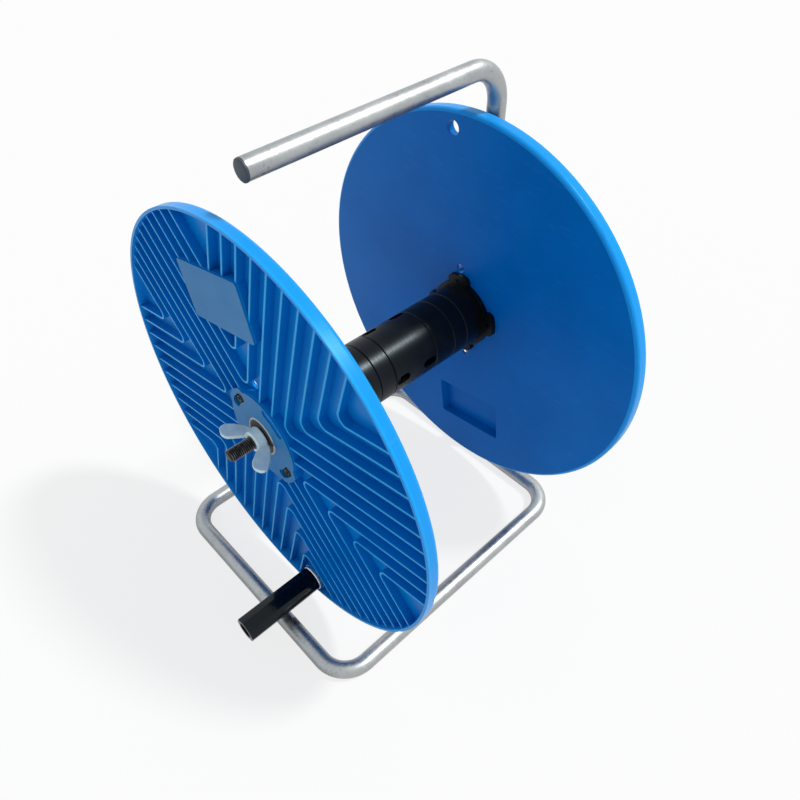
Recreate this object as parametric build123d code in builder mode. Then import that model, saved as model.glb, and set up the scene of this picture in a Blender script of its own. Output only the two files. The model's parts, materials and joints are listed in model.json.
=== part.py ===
"""Hand-cranked winder for coils of wire: a ribbed two-disc reel on a bent tube stand.

Millimetres, +Z up. X = 0 is the axle's plane, Z = 0 the floor, and Y = 0 half way along
the depth of the machine. The crank side faces -Y.
"""
from build123d import *
from math import cos, radians, sin, sqrt
import os

os.makedirs("parts", exist_ok=True)

# ---- Driving dimensions ------------------------------------------------------------
# Discs
disc_diameter = 400.0
disc_depth = 11.5
disc_gap = 238.0
web_thickness = 2.5
rim_wall = 2.4
rim_round = 4.0
rib_thickness = 1.8
rib_pitch = 16.2
rib_drop = 1.5
rib_bend_radius = 7.0
ray_count = 6
chevrons_per_ray = 4
front_disc_turn = 13.0
rear_disc_turn = 171.6
pad_length = 88.0
pad_height = 50.0
pad_distance = 130.0
pad_corner = 3.0
pad_wall = 2.5
pad_draft = 8.0
wire_hole_diameter = 9.0
wire_hole_distance = 49.0

# Hub faces, their slots and screws
hub_diameter = 86.0
hub_lobe_width = 18.4
spigot_length = 7.0
slot_radius = 37.5
slot_width = 8.6
slot_sweep = 25.0
slot_depth = 8.0
screw_slot_sweep = 18.0
recess_sweep = 30.0
recess_turn = 6.0
recess_depth = 1.2
front_ear_turn = 37.0
rear_ear_turn = 0.0
ear_count = 4
screw_diameter = 4.0
screw_head_diameter = 8.0
screw_head_height = 4.0
screw_head_chamfer = 0.8

# Core
core_diameter = 63.2
core_wall = 3.2
core_plug_length = 8.0
core_plug_wall = 2.4
core_edge = 0.7
core_front_length = 98.0
core_ring_length = 18.0
core_slotted_length = 52.5
core_rear_length = 24.5
core_rear_ring_length = 17.5
core_collar_diameter = 71.0
core_collar_thickness = 5.0
core_ear_width = 12.4
core_ear_sweep = 20.0
core_hole_length = 16.0
core_hole_width = 9.0
core_hole_rows = 2
core_hole_columns = 3
core_hole_start = 8.9
core_hole_pitch = 34.1

# Axle and bearings
floor_clearance = 17.0
axle_diameter = 12.0
axle_front_reach = 33.7
axle_rear_end = 3.0
axle_end_chamfer = 1.0
bearing_outer_diameter = 37.0
bearing_width = 12.0
bearing_stand_out = 0.5
inner_ring_diameter = 19.5
inner_ring_edge = 0.4
outer_ring_bore = 29.4
outer_ring_edge = 0.6
ball_diameter = 7.9
seal_thickness = 1.0
seal_inset = 0.6
spacer_diameter = 18.0
boss_diameter = 19.0

# Nuts and washers
m12_washer_diameter = 24.0
m12_washer_thickness = 2.5
clamp_washer_diameter = 20.0
clamp_washer_thickness = 0.8
m12_nut_flats = 18.0
m12_nut_height = 10.0
nut_corner_cut = 0.035
wing_barrel_diameter = 22.2
wing_barrel_top_diameter = 20.2
wing_barrel_height = 9.3
wing_span = 63.4
wing_height = 23.7
wing_thickness = 3.6
wing_tip_radius = 7.5
wing_tip_angles = (-30, 60, 150)
wing_root_low = 0.7
wing_root_high = 8.8
wing_turn = -3.6

# Crank
crank_inset = 16.0
crank_hole_diameter = 14.0
crank_boss_diameter = 28.0
crank_boss_height = 8.5
crank_flange_diameter = 26.0
crank_flange_thickness = 3.5
crank_bolt_diameter = 8.0
crank_bolt_head_diameter = 20.0
crank_bolt_head_height = 3.5
grip_flats = 24.0
grip_length = 80.0
grip_edge = 1.5
grip_sides = 8
crank_nut_flats = 13.0
crank_nut_height = 6.5
crank_nut_pocket_diameter = 16.0
crank_nut_pocket_depth = 9.0

# Tube stand
tube_diameter = 16.4
tube_wall = 1.5
base_width = 264.0
base_length = 311.6
base_front_reach = 39.1
base_bend_radius = 30.0
handle_clearance = 38.1
handle_droop = 1.75
handle_reach = 246.5
handle_bend_radius = 32.0
plug_cap = 2.5
plug_stem = 14.0
seam_offset = 60.0
seam_gap = 0.5
weld_width = 4.0
weld_height = 0.9
foot_weld_leg = 3.0
foot_weld_lip = 0.3
foot_weld_height = 8.0

# Clearances
press_clearance = 0.05
running_clearance = 0.08
plug_clearance = 0.15
screw_clearance = 0.05
screw_slot_clearance = 0.3
end_play = 0.3

# ---- Places worked out from them ---------------------------------------------------
disc_radius = disc_diameter / 2
axle_height = floor_clearance + disc_radius
handle_height = axle_height + disc_radius + handle_clearance
crank_distance = disc_radius - crank_inset
tube_radius = tube_diameter / 2
core_radius = core_diameter / 2
core_bore_radius = core_radius - core_wall
bearing_seat_radius = bearing_outer_diameter / 2 + press_clearance
front_inner_face = disc_depth
rear_inner_face = disc_depth + disc_gap
reel_depth = disc_gap + 2 * disc_depth
front_bearing_face = -bearing_stand_out
rear_bearing_face = reel_depth + bearing_stand_out
base_rear_distance = base_length - base_front_reach
post_distance = base_rear_distance
post_back = post_distance + tube_radius
axle_rear_reach = post_back + m12_washer_thickness + m12_nut_height + axle_rear_end
flange_top_height = crank_boss_height + crank_flange_thickness
grip_start = disc_depth - flange_top_height - end_play
grip_front_reach = grip_length - grip_start
front_y = (grip_front_reach - axle_rear_reach) / 2


def facing_rear(distance, turn=0.0):
    """Plane square to the axle, that far behind the front rim, with its normal to the rear."""
    x_dir = (-cos(radians(turn)), 0, sin(radians(turn)))
    return Plane((0, front_y + distance, axle_height), x_dir=x_dir, z_dir=(0, 1, 0))


def facing_front(distance, turn=0.0):
    """The same plane with its normal to the front, turned anticlockwise as seen there."""
    x_dir = (cos(radians(turn)), 0, sin(radians(turn)))
    return Plane((0, front_y + distance, axle_height), x_dir=x_dir, z_dir=(0, -1, 0))


def finish(piece, name):
    """Label a finished piece and write its file."""
    piece.part.label = name
    export_step(piece.part, f"parts/{name}.step")


def make_ring(plane, outer_radius, inner_radius, length, edge=0.0):
    """Plain turned ring or tube that starts on the plane and follows its normal."""
    with BuildPart() as ring:
        with BuildSketch(plane):
            Circle(outer_radius)
            Circle(inner_radius, mode=Mode.SUBTRACT)
        extrude(amount=length)
        if edge:
            rims = ring.edges().filter_by(GeomType.CIRCLE).sort_by(SortBy.RADIUS)[-2:]
            chamfer(rims, edge)
    return ring


def make_kidney(radius, width, sweep):
    """Outline of a slot bent round the origin, its middle on +X, with round ends."""
    half_sweep = radians(sweep / 2)
    end_angle = half_sweep + width / 2 / radius
    with BuildSketch(Plane.XY) as kidney:
        with BuildLine():
            CenterArc((0, 0), radius + width / 2, -sweep / 2, sweep)
            CenterArc((0, 0), radius - width / 2, -sweep / 2, sweep)
            for side in (-1, 1):
                corners = [
                    (reach * cos(half_sweep), side * reach * sin(half_sweep))
                    for reach in (radius - width / 2, radius + width / 2)
                ]
                end = (radius * cos(end_angle), side * radius * sin(end_angle))
                ThreePointArc(corners[0], end, corners[1])
        make_face()
    return kidney.sketch


def make_nut(plane, flats, height, bore_radius):
    """Hexagon nut with its corners turned off."""
    with BuildPart() as nut:
        with BuildSketch(plane):
            RegularPolygon(flats / 2, 6, major_radius=False)
            Circle(bore_radius, mode=Mode.SUBTRACT)
        extrude(amount=height)
        with BuildSketch(plane):
            Circle((1 - nut_corner_cut) * flats / 2 / cos(radians(30)))
        extrude(amount=height, mode=Mode.INTERSECT)
    return nut


# ---- Ribbed discs ------------------------------------------------------------------
rib_end_radius = disc_radius - rim_wall / 2
half_chevron = 180 / ray_count
ear_step = 360 / ear_count

# One ray of nested chevrons along +X with the plain ribs of the sector beside it.
with BuildSketch(Plane.XY) as rib_ray:
    leg_x = cos(radians(half_chevron))
    leg_y = sin(radians(half_chevron))
    for row in range(chevrons_per_ray):
        apex = (row + 1.5) * rib_pitch / leg_y
        leg = sqrt(rib_end_radius**2 - (apex * leg_y) ** 2) - apex * leg_x
        tip = (apex + leg * leg_x, leg * leg_y)
        with BuildLine() as chevron:
            FilletPolyline(tip, (apex, 0), (tip[0], -tip[1]), radius=rib_bend_radius)
        trace(chevron.line, line_width=rib_thickness)
    for side in (-0.5, 0.5):
        offset_x = -side * rib_pitch * leg_y
        offset_y = side * rib_pitch * leg_x
        start = sqrt((hub_diameter / 2) ** 2 - (side * rib_pitch) ** 2) - rib_thickness
        end = sqrt(rib_end_radius**2 - (side * rib_pitch) ** 2)
        with BuildLine() as plain_rib:
            Line(
                (start * leg_x + offset_x, start * leg_y + offset_y),
                (end * leg_x + offset_x, end * leg_y + offset_y),
            )
        trace(plain_rib.line, line_width=rib_thickness)


def make_flange(plane, ear_turn):
    """Moulded disc on its inner face, ribs along the normal, label pad towards +Y of the plane."""
    with BuildPart() as flange:
        with BuildSketch(plane):
            Circle(disc_radius)
        extrude(amount=disc_depth)
        inner_edges = [e for e in flange.edges() if abs(plane.to_local_coords(e.center()).Z) < 0.01]
        fillet(inner_edges, rim_round)
        with BuildSketch(plane.offset(web_thickness)):
            Circle(disc_radius - rim_wall)
        extrude(amount=disc_depth, mode=Mode.SUBTRACT)
        with BuildSketch(plane.offset(web_thickness / 2)):
            with PolarLocations(0, ray_count, start_angle=90):
                add(rib_ray.sketch)
        extrude(amount=disc_depth - rib_drop - web_thickness / 2)
        with BuildSketch(plane.offset(web_thickness / 2)):
            Circle(hub_diameter / 2)
            with PolarLocations(0, ear_count // 2, start_angle=ear_turn + ear_step):
                add(make_kidney(slot_radius, hub_lobe_width, slot_sweep))
            with Locations((0, pad_distance)):
                RectangleRounded(pad_length, pad_height, pad_corner)
        extrude(amount=disc_depth - web_thickness / 2)
        with BuildSketch(plane.offset(web_thickness / 2)):
            with Locations((0, -crank_distance)):
                Circle(crank_boss_diameter / 2)
        extrude(amount=crank_boss_height - web_thickness / 2)
        with BuildSketch(plane):
            with Locations((0, pad_distance)):
                RectangleRounded(pad_length - 2 * pad_wall, pad_height - 2 * pad_wall, pad_corner)
        extrude(amount=disc_depth - pad_wall, taper=pad_draft, mode=Mode.SUBTRACT)
        with BuildSketch(plane.offset(-spigot_length)):
            Circle(core_bore_radius - plug_clearance)
        extrude(amount=spigot_length)
        with BuildSketch(plane.offset(disc_depth + bearing_stand_out - bearing_width)):
            Circle(bearing_seat_radius)
        extrude(amount=disc_depth + bearing_width, mode=Mode.SUBTRACT)
        with BuildSketch(plane.offset(-spigot_length)):
            Circle(outer_ring_bore / 2)
        extrude(amount=spigot_length + disc_depth, mode=Mode.SUBTRACT)
        with BuildSketch(plane):
            with Locations((0, -crank_distance)):
                Circle(crank_hole_diameter / 2)
            with Locations((0, wire_hole_distance), (0, -wire_hole_distance)):
                Circle(wire_hole_diameter / 2)
            with PolarLocations(0, ear_count // 2, start_angle=ear_turn + ear_step):
                add(make_kidney(slot_radius, screw_diameter + 2 * screw_slot_clearance, screw_slot_sweep))
        extrude(amount=disc_depth, mode=Mode.SUBTRACT)
        with BuildSketch(plane.offset(disc_depth - slot_depth)):
            with PolarLocations(0, ear_count // 2, start_angle=ear_turn + ear_step):
                add(make_kidney(slot_radius, slot_width, slot_sweep))
        extrude(amount=slot_depth, mode=Mode.SUBTRACT)
        with BuildSketch(plane.offset(disc_depth - recess_depth)):
            with PolarLocations(0, ear_count // 2, start_angle=ear_turn + recess_turn):
                add(make_kidney(slot_radius, slot_width, recess_sweep))
        extrude(amount=recess_depth, mode=Mode.SUBTRACT)
    return flange


front_flange = make_flange(facing_front(front_inner_face, front_disc_turn), front_ear_turn)
finish(front_flange, "front_flange")

rear_flange = make_flange(facing_rear(rear_inner_face, rear_disc_turn), rear_ear_turn)
finish(rear_flange, "rear_flange")


# ---- Core ----------------------------------------------------------------------------
def make_core_section(start, length, has_plug=True, ear_plane=None, ear_turn=0.0):
    """Tube of the core from start rearwards, with a reduced plug that enters the next one."""
    with BuildPart() as section:
        with BuildSketch(facing_rear(start)):
            Circle(core_radius)
            Circle(core_bore_radius, mode=Mode.SUBTRACT)
        extrude(amount=length)
        rims = section.edges().filter_by(GeomType.CIRCLE).sort_by(SortBy.RADIUS)[-2:]
        chamfer(rims, core_edge)
        if has_plug:
            with BuildSketch(facing_rear(start + length - core_plug_length)):
                Circle(core_bore_radius)
                Circle(core_bore_radius - plug_clearance - core_plug_wall, mode=Mode.SUBTRACT)
            extrude(amount=core_plug_length)
            with BuildSketch(facing_rear(start + length)):
                Circle(core_bore_radius - plug_clearance)
                Circle(core_bore_radius - plug_clearance - core_plug_wall, mode=Mode.SUBTRACT)
            extrude(amount=core_plug_length)
        if ear_plane:
            with BuildSketch(ear_plane):
                Circle(core_collar_diameter / 2)
                with PolarLocations(0, ear_count, start_angle=ear_turn):
                    add(make_kidney(slot_radius, core_ear_width, core_ear_sweep))
                Circle(core_radius - core_wall / 2, mode=Mode.SUBTRACT)
            extrude(amount=-core_collar_thickness)
            with BuildSketch(ear_plane):
                with PolarLocations(slot_radius, ear_count, start_angle=ear_turn):
                    Circle(screw_diameter / 2 + screw_clearance)
            extrude(amount=-core_collar_thickness, mode=Mode.SUBTRACT)
    return section


core_front_start = front_inner_face
core_ring_start = core_front_start + core_front_length
core_slotted_start = core_ring_start + core_ring_length
core_rear_start = core_slotted_start + core_slotted_length
core_rear_ring_start = core_rear_start + core_rear_length
core_rear_flange_start = core_rear_ring_start + core_rear_ring_length
core_rear_flange_length = rear_inner_face - core_rear_flange_start

front_ear_plane = facing_front(front_inner_face, front_disc_turn)
core_front_section = make_core_section(
    core_front_start, core_front_length, ear_plane=front_ear_plane, ear_turn=front_ear_turn
)
finish(core_front_section, "core_front_section")

core_joint_ring = make_core_section(core_ring_start, core_ring_length)
finish(core_joint_ring, "core_joint_ring")

with BuildPart() as core_slotted_section:
    add(make_core_section(core_slotted_start, core_slotted_length).part)
    for row in range(core_hole_rows):
        hole_distance = core_slotted_start + core_hole_start + core_hole_pitch * row
        for column in range(core_hole_columns):
            hole_angle = 360 / core_hole_columns * column
            hole_normal = (cos(radians(hole_angle)), 0, sin(radians(hole_angle)))
            hole_origin = (0, front_y + hole_distance, axle_height)
            with BuildSketch(Plane(hole_origin, x_dir=(0, 1, 0), z_dir=hole_normal)):
                SlotOverall(core_hole_length, core_hole_width)
            extrude(amount=core_radius + core_edge, mode=Mode.SUBTRACT)
finish(core_slotted_section, "core_slotted_section")

core_rear_section = make_core_section(core_rear_start, core_rear_length)
finish(core_rear_section, "core_rear_section")

core_rear_ring = make_core_section(core_rear_ring_start, core_rear_ring_length)
finish(core_rear_ring, "core_rear_ring")

rear_ear_plane = facing_rear(rear_inner_face, rear_disc_turn)
core_rear_flange = make_core_section(
    core_rear_flange_start, core_rear_flange_length, has_plug=False,
    ear_plane=rear_ear_plane, ear_turn=rear_ear_turn,
)
finish(core_rear_flange, "core_rear_flange")


# ---- Hub screws ------------------------------------------------------------------------
def make_hub_screw(inner_face_plane, angle):
    """Pan-head screw on the floor of a hub slot, down through the disc into the core's ear."""
    x = slot_radius * cos(radians(angle))
    y = slot_radius * sin(radians(angle))
    with BuildPart() as screw:
        with BuildSketch(inner_face_plane.offset(-core_collar_thickness)):
            with Locations((x, y)):
                Circle(screw_diameter / 2)
        extrude(amount=core_collar_thickness + disc_depth - slot_depth)
        with BuildSketch(inner_face_plane.offset(disc_depth - slot_depth)):
            with Locations((x, y)):
                Circle(screw_head_diameter / 2)
        extrude(amount=screw_head_height)
        head_rim = screw.edges().filter_by(GeomType.CIRCLE).sort_by(SortBy.RADIUS)[-2:]
        seat = disc_depth - slot_depth + screw_head_height / 2
        top_rim = [e for e in head_rim if inner_face_plane.to_local_coords(e.center()).Z > seat]
        chamfer(top_rim, screw_head_chamfer)
    return screw


for side, ear_plane, ear_turn in (
    ("front", front_ear_plane, front_ear_turn),
    ("rear", rear_ear_plane, rear_ear_turn),
):
    for i, quarter in enumerate((1, 3)):
        hub_screw = make_hub_screw(ear_plane, ear_turn + ear_step * quarter)
        finish(hub_screw, f"{side}_hub_screw_{i + 1}")


# ---- Bearings and axle -----------------------------------------------------------------
ball_circle_radius = (inner_ring_diameter + outer_ring_bore) / 4
groove_radius = ball_diameter / 2 + press_clearance


def make_bearing(name, plane):
    """Inner ring, outer ring and the seal on the open face; the plane is that face."""
    middle = plane.offset(-bearing_width / 2)
    inner = make_ring(plane.offset(-bearing_width), inner_ring_diameter / 2,
                      axle_diameter / 2 + press_clearance, bearing_width, edge=inner_ring_edge)
    outer = make_ring(plane.offset(-bearing_width), bearing_outer_diameter / 2,
                      outer_ring_bore / 2, bearing_width, edge=outer_ring_edge)
    for ring, part_name in ((inner, "inner_ring"), (outer, "outer_ring")):
        with BuildPart() as raced:
            add(ring.part)
            with BuildSketch(Plane(middle.origin, x_dir=middle.x_dir, z_dir=middle.y_dir)):
                with Locations((ball_circle_radius, 0)):
                    Circle(groove_radius)
            revolve(axis=Axis(middle.origin, middle.z_dir), mode=Mode.SUBTRACT)
        finish(raced, f"{name}_bearing_{part_name}")
    seal = make_ring(plane.offset(-seal_inset - seal_thickness), outer_ring_bore / 2 - press_clearance,
                     inner_ring_diameter / 2 + plug_clearance, seal_thickness)
    finish(seal, f"{name}_bearing_seal")


make_bearing("front", facing_front(front_bearing_face))
make_bearing("rear", facing_rear(rear_bearing_face))

spacer_length = rear_bearing_face - front_bearing_face - 2 * bearing_width
axle_spacer_tube = make_ring(facing_rear(front_bearing_face + bearing_width), spacer_diameter / 2,
                             axle_diameter / 2 + plug_clearance, spacer_length)
finish(axle_spacer_tube, "axle_spacer_tube")

with BuildPart() as axle_rod:
    with BuildSketch(facing_rear(-axle_front_reach)):
        Circle(axle_diameter / 2)
    extrude(amount=axle_front_reach + axle_rear_reach)
    chamfer(axle_rod.edges().filter_by(GeomType.CIRCLE), axle_end_chamfer)
finish(axle_rod, "axle_rod")

axle_rear_washer = make_ring(facing_rear(post_back), m12_washer_diameter / 2,
                             axle_diameter / 2 + press_clearance, m12_washer_thickness)
finish(axle_rear_washer, "axle_rear_washer")

axle_rear_nut = make_nut(facing_rear(post_back + m12_washer_thickness), m12_nut_flats,
                         m12_nut_height, axle_diameter / 2 + press_clearance)
finish(axle_rear_nut, "axle_rear_nut")


# ---- Clamp at the front end of the axle ------------------------------------------------
clamp_washer_face = front_bearing_face - clamp_washer_thickness
clamp_washer = make_ring(facing_rear(clamp_washer_face), clamp_washer_diameter / 2,
                         axle_diameter / 2 + running_clearance, clamp_washer_thickness)
finish(clamp_washer, "clamp_washer")

with BuildPart() as wing_nut:
    barrel_plane = facing_front(clamp_washer_face, wing_turn)
    with BuildSketch(barrel_plane):
        Circle(wing_barrel_diameter / 2)
    with BuildSketch(barrel_plane.offset(wing_barrel_height)):
        Circle(wing_barrel_top_diameter / 2)
    loft()
    wing_plane = Plane(barrel_plane.origin, x_dir=barrel_plane.x_dir, z_dir=-barrel_plane.y_dir)
    with BuildSketch(wing_plane):
        for side in (-1, 1):
            root_x = side * wing_barrel_top_diameter / 3
            outer, top, inner = (
                (
                    side * (wing_span / 2 - wing_tip_radius + wing_tip_radius * cos(radians(angle))),
                    wing_height - wing_tip_radius + wing_tip_radius * sin(radians(angle)),
                )
                for angle in wing_tip_angles
            )
            with BuildLine():
                Polyline(
                    inner,
                    (root_x, wing_root_high),
                    (root_x, wing_root_low),
                    (side * wing_barrel_diameter / 2, wing_root_low),
                    outer,
                )
                ThreePointArc(outer, top, inner)
            make_face()
    extrude(amount=wing_thickness / 2, both=True)
    with BuildSketch(barrel_plane):
        Circle(axle_diameter / 2 + running_clearance)
    extrude(amount=wing_barrel_height, mode=Mode.SUBTRACT)
finish(wing_nut, "wing_nut")


# ---- Crank -----------------------------------------------------------------------------
crank_x = crank_distance * sin(radians(front_disc_turn))
crank_z = -crank_distance * cos(radians(front_disc_turn))


def crank_plane(distance):
    """Plane square to the crank bolt, on its centre line, with its normal to the front."""
    plane = facing_front(distance)
    return Plane(plane.from_local_coords((crank_x, crank_z, 0)), x_dir=plane.x_dir, z_dir=plane.z_dir)


with BuildPart() as crank_bush:
    with BuildSketch(crank_plane(front_inner_face)):
        Circle(crank_hole_diameter / 2 - press_clearance)
    extrude(amount=crank_boss_height)
    with BuildSketch(crank_plane(front_inner_face - crank_boss_height)):
        Circle(crank_flange_diameter / 2)
    extrude(amount=crank_flange_thickness)
    chamfer(crank_bush.edges().filter_by(GeomType.CIRCLE).sort_by(SortBy.RADIUS)[-2:], core_edge)
    with BuildSketch(crank_plane(front_inner_face)):
        Circle(crank_bolt_diameter / 2 + press_clearance)
    extrude(amount=flange_top_height, mode=Mode.SUBTRACT)
finish(crank_bush, "crank_bush")

grip_nut_seat = grip_start - grip_length + crank_nut_pocket_depth
crank_bolt_end = grip_nut_seat - end_play - crank_nut_height - end_play
with BuildPart() as crank_bolt:
    with BuildSketch(crank_plane(front_inner_face + crank_bolt_head_height)):
        Circle(crank_bolt_head_diameter / 2)
    extrude(amount=crank_bolt_head_height)
    far_rim = crank_bolt.edges().filter_by(GeomType.CIRCLE).sort_by(Axis.Y)[-1]
    fillet(far_rim, crank_bolt_head_height / 2)
    with BuildSketch(crank_plane(front_inner_face)):
        Circle(crank_bolt_diameter / 2)
    extrude(amount=front_inner_face - crank_bolt_end)
finish(crank_bolt, "crank_bolt")

crank_nut = make_nut(crank_plane(grip_nut_seat - end_play), crank_nut_flats, crank_nut_height,
                     crank_bolt_diameter / 2 + press_clearance)
finish(crank_nut, "crank_nut")

with BuildPart() as crank_grip:
    with BuildSketch(crank_plane(grip_start)):
        RegularPolygon(grip_flats / 2, grip_sides, major_radius=False, rotation=180 / grip_sides)
    extrude(amount=grip_length)
    ends = crank_grip.faces().sort_by(Axis.Y)
    chamfer([e for face in (ends[0], ends[-1]) for e in face.edges()], grip_edge)
    with BuildSketch(crank_plane(grip_start)):
        Circle(crank_bolt_diameter / 2 + running_clearance)
    extrude(amount=grip_length, mode=Mode.SUBTRACT)
    with BuildSketch(crank_plane(grip_nut_seat)):
        Circle(crank_nut_pocket_diameter / 2)
    extrude(amount=crank_nut_pocket_depth, mode=Mode.SUBTRACT)
finish(crank_grip, "crank_grip")


# ---- Tube stand ------------------------------------------------------------------------
base_y_front = front_y - base_front_reach
base_y_rear = front_y + base_rear_distance
post_y = front_y + post_distance
handle_end_y = post_y - handle_reach
handle_end_z = handle_height - handle_reach * sin(radians(handle_droop))


def make_tube(points, bend_radius):
    """Hollow bent tube along straight runs joined by bends."""
    with BuildPart() as tube:
        with BuildLine() as path:
            FilletPolyline(*points, radius=bend_radius)
        with BuildSketch(Plane(path.line @ 0, z_dir=path.line % 0)):
            Circle(tube_radius)
            Circle(tube_radius - tube_wall, mode=Mode.SUBTRACT)
        sweep(path=path.line)
    return tube


half_base = base_width / 2
base_rear_run = Location((0, base_y_rear, tube_radius), (0, 90, 0))
base_loop = make_tube(
    [
        (-seam_offset - seam_gap / 2, base_y_rear, tube_radius),
        (-half_base, base_y_rear, tube_radius),
        (-half_base, base_y_front, tube_radius),
        (half_base, base_y_front, tube_radius),
        (half_base, base_y_rear, tube_radius),
        (-seam_offset + seam_gap / 2, base_y_rear, tube_radius),
    ],
    base_bend_radius,
)
finish(base_loop, "base_loop")

with BuildPart() as base_seam_weld:
    with BuildSketch(Plane((-seam_offset - weld_width / 2, base_y_rear, tube_radius), z_dir=(1, 0, 0))):
        Circle(tube_radius + weld_height)
        Circle(tube_radius, mode=Mode.SUBTRACT)
    extrude(amount=weld_width)
    weld_rims = base_seam_weld.edges().filter_by(GeomType.CIRCLE).sort_by(SortBy.RADIUS)[-2:]
    chamfer(weld_rims, weld_height / 2)
    with Locations((-seam_offset, base_y_rear, seam_gap / 2)):
        Box(2 * weld_width, 4 * tube_diameter, 2 * tube_wall,
            align=(Align.CENTER, Align.CENTER, Align.MAX), mode=Mode.SUBTRACT)
finish(base_seam_weld, "base_seam_weld")

with BuildPart() as post_handle_tube:
    add(make_tube(
        [
            (0, post_y, tube_radius),
            (0, post_y, handle_height),
            (0, handle_end_y, handle_end_z),
        ],
        handle_bend_radius,
    ).part)
    with BuildSketch(facing_rear(post_distance - tube_diameter)):
        Circle(axle_diameter / 2 + press_clearance)
    extrude(amount=2 * tube_diameter, mode=Mode.SUBTRACT)
    with Locations(base_rear_run):
        Cylinder(tube_radius, 4 * tube_diameter, mode=Mode.SUBTRACT)
finish(post_handle_tube, "post_handle_tube")


def make_plug(plane):
    """Plastic plug pushed into a tube end; the plane is the tube's end face."""
    with BuildPart() as plug:
        with BuildSketch(plane):
            Circle(tube_radius)
        extrude(amount=plug_cap)
        with BuildSketch(plane):
            Circle(tube_radius - tube_wall - plug_clearance)
        extrude(amount=-plug_stem)
    return plug


handle_direction = Vector(0, handle_end_y - post_y, handle_end_z - handle_height).normalized()
handle_end_plug = make_plug(Plane((0, handle_end_y, handle_end_z), z_dir=handle_direction))
finish(handle_end_plug, "handle_end_plug")

foot_weld_top = tube_diameter + foot_weld_leg
with BuildPart() as post_foot_weld:
    with BuildSketch(Plane((0, post_y, foot_weld_top - foot_weld_height))):
        Circle(tube_radius + foot_weld_leg)
    with BuildSketch(Plane((0, post_y, foot_weld_top))):
        Circle(tube_radius + foot_weld_lip)
    loft()
    with Locations((0, post_y, tube_diameter)):
        Cylinder(tube_radius, 4 * tube_diameter, mode=Mode.SUBTRACT)
    with Locations(base_rear_run):
        Cylinder(tube_radius, 4 * tube_diameter, mode=Mode.SUBTRACT)
finish(post_foot_weld, "post_foot_weld")

boss_length = post_distance - rear_bearing_face
with BuildPart() as axle_boss:
    add(make_ring(facing_rear(rear_bearing_face), boss_diameter / 2,
                  axle_diameter / 2 + press_clearance, boss_length).part)
    with Locations((0, post_y, axle_height)):
        Cylinder(tube_radius, 4 * boss_diameter, mode=Mode.SUBTRACT)
finish(axle_boss, "axle_boss")
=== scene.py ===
# %% [markdown]
# # A hand-cranked winder for coils of wire
# Two ribbed plastic discs on a black core turn on a fixed threaded axle. A bent tube stand
# carries the axle and ends in a carrying handle. The solid model gives every piece its size
# and place. Here each piece gets its finish, and the small forms that a caster, a welder or
# a thread die leaves are modelled on top.

# %% The measured model
import bpy
import json
from math import atan2, cos, degrees, pi, radians, sin
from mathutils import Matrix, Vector


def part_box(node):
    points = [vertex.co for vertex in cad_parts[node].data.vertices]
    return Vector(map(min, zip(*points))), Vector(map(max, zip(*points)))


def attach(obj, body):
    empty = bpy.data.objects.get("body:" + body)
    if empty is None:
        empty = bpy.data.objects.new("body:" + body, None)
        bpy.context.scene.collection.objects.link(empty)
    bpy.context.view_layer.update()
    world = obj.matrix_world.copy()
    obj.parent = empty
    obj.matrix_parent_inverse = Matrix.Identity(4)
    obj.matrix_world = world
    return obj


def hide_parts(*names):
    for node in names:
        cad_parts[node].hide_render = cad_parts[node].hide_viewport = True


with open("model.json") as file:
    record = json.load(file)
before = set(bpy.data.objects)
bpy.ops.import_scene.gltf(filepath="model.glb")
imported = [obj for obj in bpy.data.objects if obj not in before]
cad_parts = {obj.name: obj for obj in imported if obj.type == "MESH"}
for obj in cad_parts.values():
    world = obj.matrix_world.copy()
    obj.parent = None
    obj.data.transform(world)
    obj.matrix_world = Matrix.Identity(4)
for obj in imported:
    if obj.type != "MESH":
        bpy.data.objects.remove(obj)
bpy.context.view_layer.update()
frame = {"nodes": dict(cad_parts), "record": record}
nodes = frame["nodes"]

# %% [markdown]
# ## The camera
# The photograph looks down at the crank side from the right, from about arm's length. The
# turn is given as tilt from straight down, a slight roll, and the way round the object.

# %% Camera
camera_data = bpy.data.cameras.new("camera")
camera_data.sensor_width = 36.0
camera_data.lens = 30.75
camera = bpy.data.objects.new("camera", camera_data)
camera.location = (0.36342, -0.28784, 0.64894)
camera.rotation_euler = (radians(44.940), radians(0.216), radians(46.628))
bpy.context.scene.collection.objects.link(camera)
bpy.context.scene.camera = camera
print("camera with a lens of", camera_data.lens, "mm")

# %% [markdown]
# ## White where it is seen
# A product picture has a white ground, but a white sky strong enough to look white would
# bleach the object. The Light Path node tells which kind of ray asks, so the camera and
# mirrors can be given one level and the light on the object another.

# %% Level by kind of ray
def white_where_seen(tree, plain, seen, kinds):
    """One level for the kinds of ray named, and the plain level as light for all others."""
    path = tree.nodes.new("ShaderNodeLightPath")
    either = tree.nodes.new("ShaderNodeMath")
    either.operation = "MAXIMUM"
    for kind, socket in zip(kinds, either.inputs):
        tree.links.new(path.outputs[kind], socket)
    level = tree.nodes.new("ShaderNodeMapRange")
    level.inputs["To Min"].default_value = plain
    level.inputs["To Max"].default_value = seen
    tree.links.new(either.outputs[0], level.inputs["Value"])
    return level.outputs["Result"]


# %% [markdown]
# ## Sky
# The sky fills the shaded sides with soft light. It is plain white to the camera and to
# shiny metal, and weaker as a light.

# %% Sky
world = bpy.data.worlds.new("pale sky")
world.use_nodes = True
bpy.context.scene.world = world
sky = world.node_tree.nodes["Background"]
sky.inputs["Color"].default_value = (0.93, 0.97, 1.0, 1.0)
sky_level = white_where_seen(world.node_tree, 0.62, 1.0, ["Is Camera Ray", "Is Glossy Ray"])
world.node_tree.links.new(sky_level, sky.inputs["Strength"])
print("sky:", world.name)

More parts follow.
